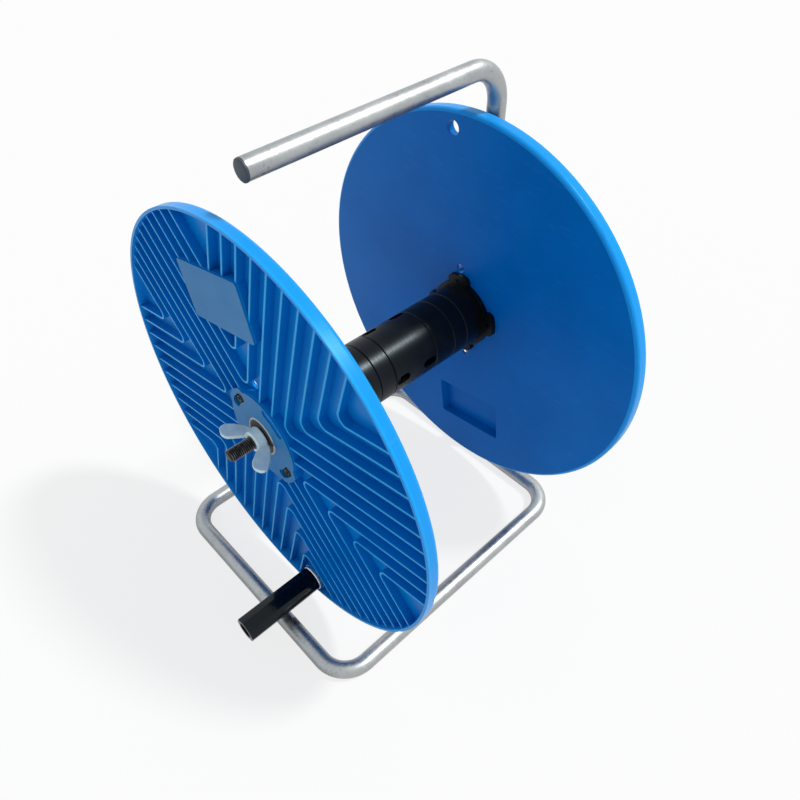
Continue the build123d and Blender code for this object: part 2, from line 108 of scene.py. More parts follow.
# %% [markdown]
# ## Floor
# The floor is a pale paint mixed, for the camera alone, with plain white, so that it reads
# as a white sheet and still keeps a faint shadow of the object.

# %% Floor
bpy.ops.mesh.primitive_plane_add(size=12.0)
floor = bpy.context.object
floor.name = "floor"
floor_paint = bpy.data.materials.new("floor paint")
floor_paint.use_nodes = True
floor_shader = floor_paint.node_tree.nodes["Principled BSDF"]
floor_shader.inputs["Base Color"].default_value = (0.66, 0.66, 0.66, 1.0)
floor_shader.inputs["Roughness"].default_value = 0.9
floor_shader.inputs["Specular IOR Level"].default_value = 0.1
floor_nodes = floor_paint.node_tree.nodes
floor_white = floor_nodes.new("ShaderNodeEmission")
floor_mix = floor_nodes.new("ShaderNodeMixShader")
floor_share = white_where_seen(floor_paint.node_tree, 0.0, 0.78, ["Is Camera Ray"])
floor_links = floor_paint.node_tree.links
floor_links.new(floor_share, floor_mix.inputs["Fac"])
floor_links.new(floor_shader.outputs["BSDF"], floor_mix.inputs[1])
floor_links.new(floor_white.outputs["Emission"], floor_mix.inputs[2])
floor_links.new(floor_mix.outputs["Shader"], floor_nodes["Material Output"].inputs["Surface"])
floor.data.materials.append(floor_paint)
print("floor:", tuple(round(side, 2) for side in floor.dimensions))

# %% [markdown]
# ## Lamp
# One strong light comes from high up behind the far disc, so that rims and tube tops shine
# and both disc faces lie in soft shade. A sun lamp does that, because its rays are parallel
# and its strength needs no distance. A wide angle keeps the shadow's edge soft.

# %% Lamp
lamp_data = bpy.data.lights.new("high light", "SUN")
lamp_data.energy = 3.0
lamp_data.angle = radians(8)
lamp_data.color = (1.0, 0.98, 0.94)
lamp = bpy.data.objects.new("high light", lamp_data)
lamp.rotation_euler = Vector((0.37, 0.42, 0.83)).to_track_quat("Z", "Y").to_euler()
bpy.context.scene.collection.objects.link(lamp)
bpy.context.scene.view_settings.view_transform = "Standard"
print("lamp of strength", lamp_data.energy)

# %% [markdown]
# ## A short way to write finishes
# Shader nodes are easier to read as sums. `Signal` wraps one output socket, so `2 * a + b`
# adds the Math nodes that do it.

# %% Sums on sockets
class Signal:
    """One output socket of a finish, on which sums can be written."""

    def __init__(self, finish, socket):
        self.finish = finish
        self.socket = socket

    def math(self, operation, first, second):
        return self.finish.node("ShaderNodeMath", {"operation": operation}, {0: first, 1: second})

    def __add__(self, other):
        return self.math("ADD", self, other)

    def __sub__(self, other):
        return self.math("SUBTRACT", self, other)

    def __rsub__(self, other):
        return self.math("SUBTRACT", other, self)

    def __mul__(self, other):
        return self.math("MULTIPLY", self, other)

    def __pow__(self, other):
        return self.math("POWER", self, other)

    def __lt__(self, other):
        return self.math("LESS_THAN", self, other)

    def __gt__(self, other):
        return self.math("GREATER_THAN", self, other)

    def __abs__(self):
        return self.finish.node("ShaderNodeMath", {"operation": "ABSOLUTE"}, {0: self})

    __radd__ = __add__
    __rmul__ = __mul__


# %% [markdown]
# ## One finish
# `Finish` holds one material. Its `node` method adds any node with its settings and inputs,
# and the shorter methods below it are the few mixtures that the finishes share. All of them
# read Object coordinates, which need no unwrapping and stay on the piece when it moves.

# %% Finish
class Finish:
    """One material with its shader, and a method that adds a node."""

    def __init__(self, name, roughness, metallic=0.0):
        self.material = bpy.data.materials.new(name)
        self.material.use_nodes = True
        self.tree = self.material.node_tree
        self.shader = self.tree.nodes["Principled BSDF"]
        self.feed(self.shader.inputs["Roughness"], roughness)
        self.feed(self.shader.inputs["Metallic"], metallic)
        self.place = self.node("ShaderNodeTexCoord", {}, {}, "Object")

    def feed(self, socket, value):
        if isinstance(value, Signal):
            self.tree.links.new(value.socket, socket)
        else:
            socket.default_value = value

    def node(self, kind, settings, values, output=0):
        made = self.tree.nodes.new(kind)
        for name, setting in settings.items():
            setattr(made, name, setting)
        for name, value in values.items():
            self.feed(made.inputs[name], value)
        return Signal(self, made.outputs[output])

    def noise(self, scale, detail=3.0, place=None):
        return self.node(
            "ShaderNodeTexNoise", {}, {"Vector": place or self.place, "Scale": scale, "Detail": detail}
        )

    def stretched(self, scale):
        """Object coordinates, squeezed or drawn out, for patterns with a direction."""
        return self.node("ShaderNodeMapping", {}, {"Vector": self.place, "Scale": scale})

    def spread(self, value, low, high):
        """A value between low and high, stretched to between 0 and 1 and clamped."""
        return self.node(
            "ShaderNodeMapRange", {}, {"Value": value, "From Min": low, "From Max": high}
        )

    def split(self, vector):
        """The three numbers of a vector."""
        return [self.node("ShaderNodeSeparateXYZ", {}, {"Vector": vector}, i) for i in range(3)]

    def mix(self, share, first, second):
        """The first colour where the share is 0, the second where it is 1."""
        return self.node("ShaderNodeMix", {"data_type": "RGBA"}, {0: share, 6: first, 7: second}, 2)

    def bump(self, height, distance, strength):
        normal = self.node(
            "ShaderNodeBump", {}, {"Height": height, "Distance": distance, "Strength": strength}
        )
        self.feed(self.shader.inputs["Normal"], normal)

    def set(self, **values):
        for name, value in values.items():
            self.feed(self.shader.inputs[name.replace("_", " ")], value)


# %% [markdown]
# ## Blue moulded plastic
# The discs are injection moulded in one even blue. What the eye reads is a satin gloss, the
# faint waviness that shrinkage leaves over the ribs, and fine scuffs. The label field and the
# hub face stand level with the rim and are painted paler, a painted sheen in place of the pale
# floor's reflection; the tops of the ribs are painted lighter as painted highlights, the rim a
# brighter blue as painted light, and the disc on the post side a darker blue as painted shade.
# Masks of depth and radius, measured from the axle, find them, so nothing has to be unwrapped.

# %% Blue plastic
axle_height = ((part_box("axle_rod")[0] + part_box("axle_rod")[1]) / 2).z
rim_radius, field_radius = 0.1965, 0.162


def make_blue(name, face, rib_face, dark, light):
    """Blue plastic from dark to light, painted paler at y = face as a painted sheen, lighter on the rib
    tops at y = rib_face and brighter at the rim as painted highlights.
    """
    blue = Finish(name, 0.3)
    across, depth, up = blue.split(blue.place)
    up = up - axle_height
    radius = (across * across + up * up) ** 0.5
    # Painted sheen: the label field and hub face, level with the rim, are painted paler in place of the
    # pale floor's reflection.
    sheen_field = (abs(depth - face) < 0.0004) * (radius < field_radius)
    # Painted highlight: the rib tops are painted a lighter blue in place of light caught on their edges.
    rib_top_highlight = abs(depth - rib_face) < 0.0003
    # Painted light: the rim is painted a brighter blue in place of the lamp's light on it.
    rim = radius > rim_radius
    cloud = blue.noise(14.0, 2.0)
    grain = blue.noise(900.0, 2.0)
    scuffs = blue.spread(blue.noise(60.0, 6.0, blue.stretched((1.0, 1.0, 6.0))), 0.6, 0.8)
    # The rim's brighter blue here is painted light.
    base = blue.mix(rim, blue.mix(blue.spread(cloud, 0.3, 0.7), dark, light), (0.01, 0.27, 0.72, 1.0))
    # The paler colour of the painted sheen.
    pale = blue.mix(blue.spread(cloud, 0.35, 0.65), (0.003, 0.15, 0.40, 1.0), (0.035, 0.2, 0.45, 1.0))
    worn = blue.mix(scuffs * 0.12, base, (0.1, 0.36, 0.72, 1.0))
    # The rib tops' painted highlight.
    rib_highlighted = blue.mix(rib_top_highlight * 0.8, worn, (0.01, 0.36, 0.78, 1.0))
    blue.set(
        Base_Color=blue.mix(sheen_field, rib_highlighted, pale),
        Roughness=0.26 + cloud * 0.08 + scuffs * 0.12 + sheen_field * 0.12,
        Specular_IOR_Level=0.14,
        Specular_Tint=(0.3, 0.72, 1.0, 1.0),
    )
    blue.bump(grain * 0.15 + cloud, 0.0004, 0.3)
    return blue


rib_depth = 0.0017  # middle of the rib tops' soft edges, below the rim
front_face, rear_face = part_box("front_flange")[0].y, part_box("rear_flange")[1].y
front_blue = make_blue("blue plastic of the crank side", front_face, front_face + rib_depth,
                       (0.0, 0.175, 0.56, 1.0), (0.0, 0.205, 0.63, 1.0))
# The post side's disc is painted a darker blue than the crank side's, though both are one plastic: painted
# shade.
shaded_rear_blue = make_blue("blue plastic of the post side", rear_face, rear_face - rib_depth,
                      (0.0, 0.135, 0.46, 1.0), (0.0, 0.16, 0.52, 1.0))
print("discs' outer faces at", round(front_face, 4), "and", round(rear_face, 4))

# %% [markdown]
# ## Black plastics
# The core is turned and moulded in black with a satin skin that shows fine rings and dust.
# Rings come from noise that is squeezed along the axle.

# %% Black core
core_plastic = Finish("black core plastic", 0.36)
core_dust = core_plastic.spread(core_plastic.noise(26.0, 5.0), 0.45, 0.8)
core_rings = core_plastic.noise(30.0, 3.0, core_plastic.stretched((1.0, 40.0, 1.0)))
core_plastic.set(
    Base_Color=core_plastic.mix(core_dust, (0.002, 0.0024, 0.003, 1.0), (0.007, 0.0078, 0.009, 1.0)),
    Roughness=0.24 + core_rings * 0.14 + core_dust * 0.1,
    Specular_IOR_Level=0.2,
    Specular_Tint=(0.75, 0.9, 1.0, 1.0),
)
core_plastic.bump(core_rings + core_plastic.noise(700.0, 2.0) * 0.3, 0.00012, 0.5)

print("finish:", core_plastic.material.name)

# %% [markdown]
# ## Grip, plug and seals
# The grip is harder and glossier than the core, so that each flat mirrors its own patch of
# the surroundings. The plug is a dull grey with a fine grain, and the seals are matt rubber.
# The screws in the hub share the grip's deep gloss black.

# %% Grip, plug and seal
grip_plastic = Finish("black grip plastic", 0.2)
grip_wear = grip_plastic.spread(grip_plastic.noise(70.0, 6.0), 0.5, 0.8)
grip_plastic.set(
    Base_Color=grip_plastic.mix(grip_wear, (0.001, 0.0012, 0.002, 1.0), (0.004, 0.005, 0.006, 1.0)),
    Roughness=0.1 + grip_wear * 0.14,
    Specular_IOR_Level=0.25,
    Specular_Tint=(0.8, 0.93, 1.0, 1.0),
)
grip_plastic.bump(grip_plastic.noise(260.0, 2.0), 0.0001, 0.4)

plug_plastic = Finish("grey plug plastic", 0.5)
plug_grain = plug_plastic.noise(800.0, 2.0)
plug_plastic.set(
    Base_Color=plug_plastic.mix(plug_grain, (0.02, 0.03, 0.04, 1.0), (0.04, 0.055, 0.07, 1.0)),
    Roughness=0.4 + plug_grain * 0.2,
)
plug_plastic.bump(plug_grain, 0.0001, 0.5)

seal_rubber = Finish("seal rubber", 0.5)
seal_grain = seal_rubber.noise(500.0, 3.0)
seal_rubber.set(
    Base_Color=seal_rubber.mix(seal_grain, (0.004, 0.004, 0.004, 1.0), (0.01, 0.01, 0.01, 1.0)),
    Roughness=0.4 + seal_grain * 0.25,
)
seal_rubber.bump(seal_grain, 0.0001, 0.4)
print("finishes:", grip_plastic.material.name, plug_plastic.material.name, seal_rubber.material.name)

# %% [markdown]
# ## Zinc on the tube and the welds
# The stand's tube is zinc coated: a soft metal shine, broken by small crystals, dull spots and
# a few dark scrapes where it has been set down. Voronoi cells with one random tone each look
# like the crystals. Over the welds the coat is greyer and rougher.

# %% Zinc coat
tube_zinc = Finish("zinc coated tube", 0.35, 1.0)
zinc_cells = tube_zinc.node(
    "ShaderNodeTexVoronoi", {}, {"Vector": tube_zinc.place, "Scale": 260.0}, "Color"
)
zinc_spangle = tube_zinc.node("ShaderNodeSeparateColor", {}, {"Color": zinc_cells}, 0)
zinc_cloud = tube_zinc.noise(45.0, 5.0)
zinc_speck = tube_zinc.spread(tube_zinc.noise(420.0, 4.0), 0.6, 0.75)
zinc_scrape = tube_zinc.spread(tube_zinc.noise(38.0, 8.0), 0.68, 0.74)
zinc_tone = tube_zinc.mix(zinc_cloud, (0.30, 0.315, 0.32, 1.0), (0.52, 0.53, 0.53, 1.0))
zinc_dull = tube_zinc.mix(zinc_speck * 0.6, zinc_tone, (0.2, 0.21, 0.22, 1.0))
tube_zinc.set(
    Base_Color=tube_zinc.mix(zinc_scrape, zinc_dull, (0.1, 0.1, 0.1, 1.0)),
    Roughness=0.29 + zinc_spangle * 0.08 + zinc_cloud * 0.14 + zinc_speck * 0.1,
)
tube_zinc.bump(zinc_cloud + zinc_spangle * 0.25 + zinc_speck * 0.5, 0.00025, 0.4)

weld_zinc = Finish("zinc over weld", 0.45, 1.0)
weld_grain = weld_zinc.noise(300.0, 4.0)
weld_zinc.set(
    Base_Color=weld_zinc.mix(weld_grain, (0.26, 0.27, 0.28, 1.0), (0.52, 0.53, 0.53, 1.0)),
    Roughness=0.36 + weld_grain * 0.25,
)
weld_zinc.bump(weld_grain, 0.0004, 0.6)

print("finishes:", tube_zinc.material.name, weld_zinc.material.name)

# %% [markdown]
# ## Castings and plated parts
# The wing nut is a pale zinc casting that shows its own light grey more than it mirrors, so
# it is only partly metallic. Nuts, washers, bolt and bush are plated and mirror fully.

# %% Casting and plating
cast_zinc = Finish("pale zinc casting", 0.4, 0.3)
cast_grain = cast_zinc.noise(420.0, 4.0)
cast_cloud = cast_zinc.spread(cast_zinc.noise(90.0, 4.0), 0.35, 0.7)
cast_zinc.set(
    Base_Color=cast_zinc.mix(cast_cloud, (0.55, 0.72, 0.80, 1.0), (0.76, 0.90, 0.94, 1.0)),
    Roughness=0.26 + cast_grain * 0.2,
)
cast_zinc.bump(cast_grain, 0.0002, 0.45)

bright_zinc = Finish("bright zinc plating", 0.3, 1.0)
plate_grain = bright_zinc.noise(500.0, 3.0)
bright_zinc.set(
    Base_Color=bright_zinc.mix(plate_grain, (0.5, 0.52, 0.55, 1.0), (0.72, 0.74, 0.77, 1.0)),
    Roughness=0.22 + plate_grain * 0.2,
)
bright_zinc.bump(plate_grain, 0.0001, 0.4)

print("finishes:", cast_zinc.material.name, bright_zinc.material.name)

# %% [markdown]
# ## Bearing ring and axle
# The bearing ring is ground bright. The axle is blackened, and the crests of its thread are
# worn to bare metal. A mask of distance from the axle's middle finds the crests.

# %% Bearing and axle steel
bearing_steel = Finish("ground bearing steel", 0.2, 1.0)
grind_lines = bearing_steel.noise(900.0, 2.0)
bearing_steel.set(
    Base_Color=bearing_steel.mix(grind_lines, (0.3, 0.32, 0.33, 1.0), (0.42, 0.44, 0.45, 1.0)),
    Roughness=0.16 + grind_lines * 0.16,
)
bearing_steel.bump(grind_lines, 0.00003, 0.5)

black_steel = Finish("blackened steel", 0.4, 0.3)
oxide_cloud = black_steel.noise(160.0, 4.0)
steel_across, _, steel_up = black_steel.split(black_steel.place)
steel_up = steel_up - axle_height
steel_radius = (steel_across * steel_across + steel_up * steel_up) ** 0.5
crest = black_steel.spread(steel_radius, 0.0054, 0.006) * (steel_radius < 0.0063)
crest_wear = crest * black_steel.spread(oxide_cloud, 0.3, 0.6)
oxide = black_steel.mix(oxide_cloud, (0.004, 0.0045, 0.005, 1.0), (0.016, 0.017, 0.018, 1.0))
black_steel.set(
    Base_Color=black_steel.mix(crest_wear, oxide, (0.34, 0.31, 0.28, 1.0)),
    Roughness=0.26 + oxide_cloud * 0.2,
    Specular_IOR_Level=0.25,
)
black_steel.bump(oxide_cloud, 0.0001, 0.4)
print("finishes:", bearing_steel.material.name, black_steel.material.name)

# %% [markdown]
# ## Finishes on the measured pieces
# Pieces whose shape is already right only change material.

# %% Who wears which finish
finish_of = {
    "front_flange": front_blue, "rear_flange": shaded_rear_blue,
    "crank_grip": grip_plastic, "crank_bush": bright_zinc, "handle_end_plug": plug_plastic,
    "base_loop": tube_zinc, "post_handle_tube": tube_zinc, "axle_boss": weld_zinc,
    "post_foot_weld": weld_zinc, "base_seam_weld": weld_zinc,
    "axle_rod": black_steel, "clamp_washer": black_steel, "axle_spacer_tube": bright_zinc,
    "wing_nut": cast_zinc, "axle_rear_nut": bright_zinc, "axle_rear_washer": bright_zinc,
    "crank_bolt": bright_zinc, "crank_nut": bright_zinc,
}
for name, node in nodes.items():
    if name.startswith("core_"):
        finish_of[name] = core_plastic
    elif name.endswith("_seal"):
        finish_of[name] = seal_rubber
    elif "bearing" in name:
        finish_of[name] = bearing_steel
    elif "screw" in name:
        finish_of[name] = grip_plastic
    node.data.materials.clear()
    node.data.materials.append(finish_of[name].material)
print("finishes set on", len(nodes), "pieces")

# %% [markdown]
# ## Small helpers for modelling
# Operators act on what is selected, so each step first selects one piece alone. A finished
# piece has its place in its mesh, carries one finish, rides on one body of the model, and may
# stand in for the measured piece of that name.

# %% Helpers for modelling
def only(piece):
    """Leave edit mode and make this object the one that operators act on."""
    if bpy.context.object and bpy.context.object.mode == "EDIT":
        bpy.ops.object.mode_set(mode="OBJECT")
    bpy.ops.object.select_all(action="DESELECT")
    piece.select_set(True)
    bpy.context.view_layer.objects.active = piece


def edit_all():
    """Enter edit mode with everything selected."""
    bpy.ops.object.mode_set(mode="EDIT")
    bpy.ops.mesh.select_all(action="SELECT")


def apply_modifier(piece, kind, **settings):
    """Add a modifier with these settings and apply it."""
    only(piece)
    modifier = piece.modifiers.new(kind, kind)
    for name, setting in settings.items():
        setattr(modifier, name, setting)
    bpy.ops.object.modifier_apply(modifier=modifier.name)


def finish_piece(piece, finish, body, smooth_angle=40):
    """Fix a piece's place in its mesh, smooth it, and give it its finish and its body."""
    only(piece)
    bpy.ops.object.transform_apply(location=True, rotation=True, scale=True)
    bpy.ops.object.shade_smooth_by_angle(angle=radians(smooth_angle))
    piece.data.materials.clear()
    piece.data.materials.append(finish.material)
    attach(piece, body)


def wear(piece, node_name, smooth_angle=40):
    """Finish a piece that stands in for a measured one."""
    finish_piece(piece, finish_of[node_name], body_of[node_name], smooth_angle)
    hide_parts(node_name)


body_of = {
    node_name: body_name
    for body_name, body_nodes in frame["record"]["behaviour"]["bodies"].items()
    for node_name in body_nodes
}


# %% [markdown]
# ## Edges that catch the light
# A mould or a lathe never leaves a perfectly sharp edge, and a thin bright line along each
# rib is most of what makes plastic look real. For each such piece the measured mesh is
# copied, its doubled points are merged and its flat faces joined, and the sharp edges get a
# narrow bevel. Weighted normals then keep the large faces flat to the eye, so that only the
# bevels shade round. The copy stands in for the original.

# %% Softened copies
def copy_of(node_name, name):
    """A loose copy of a measured piece's mesh, its doubled points merged, in edit mode."""
    piece = bpy.data.objects.new(name, nodes[node_name].data.copy())
    bpy.context.scene.collection.objects.link(piece)
    only(piece)
    edit_all()
    bpy.ops.mesh.customdata_custom_splitnormals_clear()
    bpy.ops.mesh.remove_doubles(threshold=0.000001)
    return piece


def soften(node_name, width):
    """Copy a measured piece and round its sharp edges by a width."""
    piece = copy_of(node_name, f"soft_{node_name}")
    bpy.ops.mesh.dissolve_limited(angle_limit=radians(0.5))
    bpy.ops.mesh.select_all(action="DESELECT")
    bpy.ops.mesh.select_mode(type="EDGE")
    bpy.ops.mesh.edges_select_sharp(sharpness=radians(40))
    bpy.ops.mesh.bevel(offset=width, segments=2, affect="EDGES", clamp_overlap=True)
    wear(piece, node_name, 35)
    apply_modifier(piece, "WEIGHTED_NORMAL", keep_sharp=True, weight=100)
    return piece


# %% Round the edges
edge_width = {"front_flange": 0.0004, "rear_flange": 0.0004, "crank_bush": 0.0003}
edge_width.update({name: 0.0002 for name in nodes if name.startswith("core_")})
edge_width.update({
    "axle_rear_nut": 0.0005, "crank_nut": 0.0003, "axle_rear_washer": 0.0003,
    "crank_bolt": 0.0003, "axle_boss": 0.0002, "clamp_washer": 0.0001,
})
for name, width in edge_width.items():
    piece = soften(name, width)
    print(name, "has", len(piece.data.polygons), "faces")

# %% [markdown]
# ## Lines, lathe and places
# The round pieces start as a line, drawn point by point with Extrude as one would with the E
# key, and turned about the upright axis with Spin. They are modelled upright at the origin,
# then tipped so that they look to the front or the rear of the machine.

# %% Helpers for turned pieces
def draw_line(name, points):
    """A line through (across, along) points in the XZ plane, in edit mode, all selected."""
    bpy.ops.object.select_all(action="DESELECT")
    bpy.ops.mesh.primitive_plane_add(size=0.001)
    piece = bpy.context.object
    piece.name = piece.data.name = name
    edit_all()
    bpy.ops.mesh.select_mode(type="VERT")
    bpy.ops.mesh.merge(type="CENTER")
    corners = [Vector((across, 0, along)) for across, along in points]
    bpy.ops.transform.translate(value=corners[0])
    for here, there in zip(corners, corners[1:]):
        bpy.ops.mesh.extrude_region_move(TRANSFORM_OT_translate={"value": there - here})
    bpy.ops.mesh.select_all(action="SELECT")
    return piece


def turn_on_lathe(name, points, steps=48):
    """Spin a line about the upright axis and close it."""
    piece = draw_line(name, points)
    bpy.ops.mesh.spin(steps=steps, angle=2 * pi, center=(0, 0, 0), axis=(0, 0, 1))
    bpy.ops.mesh.select_all(action="SELECT")
    bpy.ops.mesh.remove_doubles(threshold=0.000001)
    bpy.ops.mesh.normals_make_consistent(inside=False)
    bpy.ops.object.mode_set(mode="OBJECT")
    return piece


def tip(piece, place, turn=0.0, to_rear=False):
    """Lay an upright piece down to look to the front or rear, turned about its own axis."""
    piece.rotation_euler = (radians(90), radians(-turn), radians(180 if to_rear else 0))
    piece.location = place


def middle(node_name, depth):
    """Centre of a measured piece as seen along the axle, at the given depth."""
    low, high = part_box(node_name)
    return Vector(((low.x + high.x) / 2, depth, (low.z + high.z) / 2))


# %% [markdown]
# ## The threaded axle
# The axle is a plain threaded rod. One tooth of the thread is drawn as a line with its own
# pitch as height, and the Screw modifier turns it as it climbs, so that each turn meets the
# next. Two bisect cuts give the length, and each end is drawn in to a small chamfer.

# %% Threaded rod
def make_thread(name, radius, pitch, length, chamfer):
    """Upright threaded rod from z = 0 to its length."""
    root = radius - 0.6 * pitch
    tooth = ((root, 0), (radius, 0.38 * pitch), (radius, 0.52 * pitch), (root, 0.9 * pitch), (root, pitch))
    piece = draw_line(name, [(across, along - 2 * pitch) for across, along in tooth])
    bpy.ops.object.mode_set(mode="OBJECT")
    turns = int(length / pitch) + 4
    apply_modifier(piece, "SCREW", axis="Z", angle=2 * pi, screw_offset=pitch, iterations=turns,
                   steps=20, render_steps=20, use_merge_vertices=True, merge_threshold=0.000005)
    for height, keep_above in ((chamfer, True), (length - chamfer, False)):
        edit_all()
        bpy.ops.mesh.bisect(plane_co=(0, 0, height), plane_no=(0, 0, 1), use_fill=True,
                            clear_inner=keep_above, clear_outer=not keep_above)
        bpy.ops.mesh.extrude_region_move(
            TRANSFORM_OT_translate={"value": (0, 0, -chamfer if keep_above else chamfer)}
        )
        shrink = 1 - chamfer / radius
        bpy.ops.transform.resize(value=(shrink, shrink, 1), center_override=(0, 0, height))
        bpy.ops.object.mode_set(mode="OBJECT")
    edit_all()
    bpy.ops.mesh.remove_doubles(threshold=0.000001)
    bpy.ops.mesh.normals_make_consistent(inside=False)
    bpy.ops.object.mode_set(mode="OBJECT")
    return piece


rod_radius, rod_pitch, rod_chamfer = 0.006, 0.00175, 0.001
rod_gap = 0.0001  # room for the last burr of the thread at the rear end
rod_low, rod_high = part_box("axle_rod")
rod_length = rod_high.y - rod_low.y - rod_gap
threaded_axle = make_thread("threaded_axle", rod_radius, rod_pitch, rod_length, rod_chamfer)
tip(threaded_axle, middle("axle_rod", rod_high.y - rod_gap))
wear(threaded_axle, "axle_rod", 50)
print("axle thread has", len(threaded_axle.data.polygons), "faces")

# %% [markdown]
# ## The wing nut
# The nut is a rough casting with its wings blended into a tapered barrel. The barrel is
# turned, one wing is drawn flat, filled, thickened and mirrored, and the two are joined. A
# voxel remesh melts them into one skin, and a few rounds of smoothing leave the soft
# corners of a casting.

# %% Wing nut
nut_height, wing_thickness = 0.0093, 0.0036
barrel = turn_on_lathe("cast_wing_nut", (
    (0.0061, 0), (0.0106, 0), (0.0111, 0.0005), (0.0101, nut_height - 0.0008),
    (0.0094, nut_height), (0.0068, nut_height), (0.0061, nut_height - 0.0007), (0.0061, 0),
), 64)
wing = draw_line("nut_wing", (
    (0.0072, 0.0008), (0.0137, 0.0009), (0.0198, 0.0042), (0.0260, 0.0085), (0.0306, 0.0138),
    (0.0317, 0.0166), (0.0316, 0.0190), (0.0303, 0.0212), (0.0280, 0.0226), (0.0254, 0.0235),
    (0.0228, 0.0237), (0.0200, 0.0229), (0.0176, 0.0212), (0.0140, 0.0164), (0.0108, 0.0118),
    (0.0092, 0.0088), (0.0072, 0.0080),
))
bpy.ops.mesh.edge_face_add()
bpy.ops.transform.translate(value=(0, -wing_thickness / 2, 0))
bpy.ops.mesh.extrude_region_move(TRANSFORM_OT_translate={"value": (0, wing_thickness, 0)})
bpy.ops.object.mode_set(mode="OBJECT")
apply_modifier(wing, "MIRROR", use_axis=(True, False, False), use_mirror_merge=False)
edit_all()
bpy.ops.mesh.normals_make_consistent(inside=False)
bpy.ops.object.mode_set(mode="OBJECT")
only(barrel)
wing.select_set(True)
bpy.ops.object.join()
apply_modifier(barrel, "REMESH", mode="VOXEL", voxel_size=0.00035)
apply_modifier(barrel, "SMOOTH", factor=0.5, iterations=5)
tip(barrel, middle("wing_nut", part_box("wing_nut")[1].y), turn=-3.6)
wear(barrel, "wing_nut", 60)
print("wing nut has", len(barrel.data.polygons), "faces")

# %% [markdown]
# ## Hub screws
# Four short black screws hold the discs to the core. The head is turned with a rounded rim,
# and a hexagon socket is cut into it with a Boolean, the surest way to a clean straight hole.
# The first screw is modelled and the others are copies of its mesh.

# %% Socket screws
head_top = 0.0029
socket_screw = turn_on_lathe("hub_screw", (
    (0, -0.0125), (0.0017, -0.0125), (0.002, -0.0121), (0.002, -0.004), (0.0036, -0.004),
    (0.0037, -0.0038), (0.0037, 0.0016), (0.0034, 0.0024), (0.0029, 0.0028), (0.0024, head_top),
    (0, head_top),
), 32)
bpy.ops.object.select_all(action="DESELECT")
bpy.ops.mesh.primitive_cylinder_add(vertices=6, radius=0.0019, depth=0.005, location=(0, 0, head_top))
socket = bpy.context.object
apply_modifier(socket_screw, "BOOLEAN", operation="DIFFERENCE", object=socket, solver="EXACT")
bpy.data.objects.remove(socket)
for name in sorted(nodes):
    if "hub_screw" in name:
        screw = bpy.data.objects.new(f"socket_{name}", socket_screw.data.copy())
        bpy.context.scene.collection.objects.link(screw)
        rear = name.startswith("rear")
        low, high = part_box(name)
        tip(screw, middle(name, high.y if rear else low.y), turn=20, to_rear=rear)
        wear(screw, name)
        print(name, "replaced")
bpy.data.objects.remove(socket_screw)

# %% [markdown]
# ## Bosses of the core's ears
# Each screw stands on a black boss of the core's ear, which fills the curved slot of the hub.
# The boss is a bent bar: a section with rounded upper corners is swept round the axle with
# Spin, as far as the slot goes. The open ends are filled, and the bar is turned to its slot.

# %% Bosses in the slots
slot_radius, boss_below_hub = 0.0375, 0.0018
slot_turns = {"front": (140, 320), "rear": (261.6, 81.6)}
boss_section = (
    (-0.0039, -0.005), (-0.0039, -0.0006), (-0.0034, 0), (0.0034, 0), (0.0039, -0.0006),
    (0.0039, -0.005), (-0.0039, -0.005),
)
first_boss = draw_line("ear_boss", [(slot_radius + across, along) for across, along in boss_section])
bpy.ops.mesh.spin(steps=16, angle=radians(30), center=(0, 0, 0), axis=(0, 0, 1))
bpy.ops.mesh.select_all(action="SELECT")
bpy.ops.mesh.remove_doubles(threshold=0.000001)
bpy.ops.mesh.select_all(action="DESELECT")
bpy.ops.mesh.select_non_manifold()
bpy.ops.mesh.edge_face_add()
bpy.ops.mesh.select_all(action="SELECT")
bpy.ops.mesh.normals_make_consistent(inside=False)
bpy.ops.object.mode_set(mode="OBJECT")
sweep_middle = sum((vertex.co for vertex in first_boss.data.vertices), Vector())
lean = degrees(atan2(sweep_middle.y, sweep_middle.x))
print("the boss leans", round(lean, 1), "degrees from the side")
for side, turns in slot_turns.items():
    boss_face = front_face + boss_below_hub if side == "front" else rear_face - boss_below_hub
    for number, turn in enumerate(turns, start=1):
        boss = bpy.data.objects.new(f"{side}_ear_boss_{number}", first_boss.data.copy())
        bpy.context.scene.collection.objects.link(boss)
        tip(boss, (0, boss_face, axle_height), turn=turn - lean, to_rear=side == "rear")
        finish_piece(boss, core_plastic, "reel")
bpy.data.objects.remove(first_boss)

# %% [markdown]
# ## Bearing seals
# Each bearing is closed by a rubber seal: a ring with a low lip at the inner ring and a broad
# bead that laps over the outer one. It is one line on the lathe.

# %% Lipped seals
for side in ("front", "rear"):
    name = f"{side}_bearing_seal"
    low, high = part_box(name)
    seal = turn_on_lathe(f"lipped_{name}", (
        (0.0099, -0.001), (0.0099, 0.0003), (0.0103, 0.00052), (0.0112, 0.0005), (0.0118, 0.0007),
        (0.0145, 0.0009), (0.0161, 0.0009), (0.0166, 0.0006), (0.0146, 0.0006), (0.0146, -0.001),
        (0.0099, -0.001),
    ), 64)
    tip(seal, middle(name, high.y if side == "rear" else low.y), to_rear=side == "rear")
    wear(seal, name)
    print(name, "has", len(seal.data.polygons), "faces")

# %% [markdown]
# ## The grip
# The grip is an eight-sided moulding, its long edges rounded just enough to catch a thin
# line of light, with a round pocket in the front end where the nut sits and a bore for the
# bolt. It starts as a cylinder with eight sides. The cutter for pocket and bore is a second
# cylinder whose end is inset and pushed on through the grip, so one Boolean makes both.

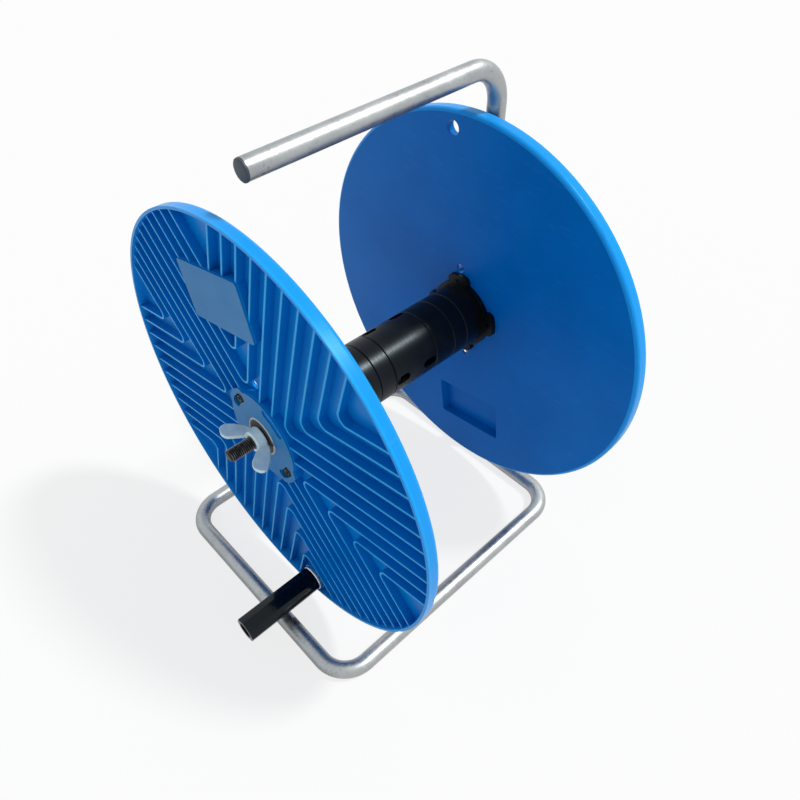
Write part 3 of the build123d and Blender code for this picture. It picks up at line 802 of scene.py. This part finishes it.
# %% Eight-sided grip
grip_across, grip_edge = 0.024, 0.0008
pocket_radius, bolt_bore_radius = 0.008, 0.00408
grip_low, grip_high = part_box("crank_grip")
grip_length = grip_high.y - grip_low.y
bpy.ops.object.select_all(action="DESELECT")
bpy.ops.mesh.primitive_cylinder_add(
    vertices=8, radius=grip_across / 2 / cos(radians(22.5)), depth=grip_length,
    location=(0, 0, -grip_length / 2),
)
grip = bpy.context.object
grip.name = grip.data.name = "faceted_grip"
bpy.ops.object.transform_apply(location=True, rotation=True, scale=True)
edit_all()
bpy.ops.mesh.bevel(offset=grip_edge, segments=3, affect="EDGES", profile=0.6)
bpy.ops.object.mode_set(mode="OBJECT")
bpy.ops.object.select_all(action="DESELECT")
bpy.ops.mesh.primitive_cylinder_add(vertices=48, radius=pocket_radius, depth=0.018, location=(0, 0, 0))
pocket = bpy.context.object
edit_all()
bpy.ops.mesh.select_all(action="DESELECT")
bpy.ops.object.mode_set(mode="OBJECT")
for face in pocket.data.polygons:
    face.select = face.normal.z < -0.9
bpy.ops.object.mode_set(mode="EDIT")
bpy.ops.mesh.inset(thickness=pocket_radius - bolt_bore_radius)
bpy.ops.mesh.extrude_region_move(TRANSFORM_OT_translate={"value": (0, 0, -grip_length)})
bpy.ops.object.mode_set(mode="OBJECT")
apply_modifier(grip, "BOOLEAN", operation="DIFFERENCE", object=pocket, solver="EXACT")
bpy.data.objects.remove(pocket)
tip(grip, middle("crank_grip", grip_low.y))
wear(grip, "crank_grip", 25)
print("grip has", len(grip.data.polygons), "faces")

# %% [markdown]
# ## The plug in the handle
# The open end of the handle is closed by a plug with a slightly domed head and thin ribs on
# its stem, which hold it in the tube. The loop below adds one small tooth to the line for
# each rib, before the lathe turns it. The handle droops a little, and the plug with it.

# %% End plug
plug_length, droop = 0.0165, radians(1.75)
plug_low, plug_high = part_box("handle_end_plug")
plug_points = [(0, 0), (0.003, -0.00005), (0.0058, -0.0003), (0.0074, -0.0006), (0.0081, -0.0011),
               (0.0082, -0.0016), (0.0082, -0.0025), (0.0064, -0.0025)]
for rib in range(4):
    start = -0.0045 - 0.0028 * rib
    plug_points += [(0.0061, start), (0.0066, start - 0.0004), (0.0061, start - 0.0014)]
plug_points += [(0.0058, -plug_length), (0, -plug_length)]
plug = turn_on_lathe("ribbed_end_plug", plug_points)
plug.rotation_euler = (radians(90) + droop, 0, 0)
plug_middle = Vector((0, (plug_low.y + plug_high.y) / 2, (plug_low.z + plug_high.z) / 2))
plug.location = plug_middle + Vector((0, -cos(droop), -sin(droop))) * plug_length / 2
wear(plug, "handle_end_plug")
print("plug head at", tuple(round(value, 4) for value in plug_low))

# %% [markdown]
# ## Welds
# A weld is a row of small frozen ripples. The measured fillets are copied, remeshed to even
# small faces, and pushed in by a banded procedural texture, because a bump in the finish
# alone would leave the outline smooth.

# %% Rippled welds
ripple = bpy.data.textures.new("weld ripple", "WOOD")
ripple.wood_type = "BANDNOISE"
ripple.noise_scale = 0.002
ripple.turbulence = 1.5
ripple_height = 0.0006
for name, voxel in (("post_foot_weld", 0.0006), ("base_seam_weld", 0.0004)):
    bead = copy_of(name, f"rippled_{name}")
    bpy.ops.object.mode_set(mode="OBJECT")
    apply_modifier(bead, "REMESH", mode="VOXEL", voxel_size=voxel)
    apply_modifier(bead, "SMOOTH", factor=0.5, iterations=3)
    apply_modifier(bead, "DISPLACE", texture=ripple, texture_coords="LOCAL", strength=ripple_height,
                   mid_level=0.9)
    wear(bead, name, 60)
    print(name, "has", len(bead.data.polygons), "faces")
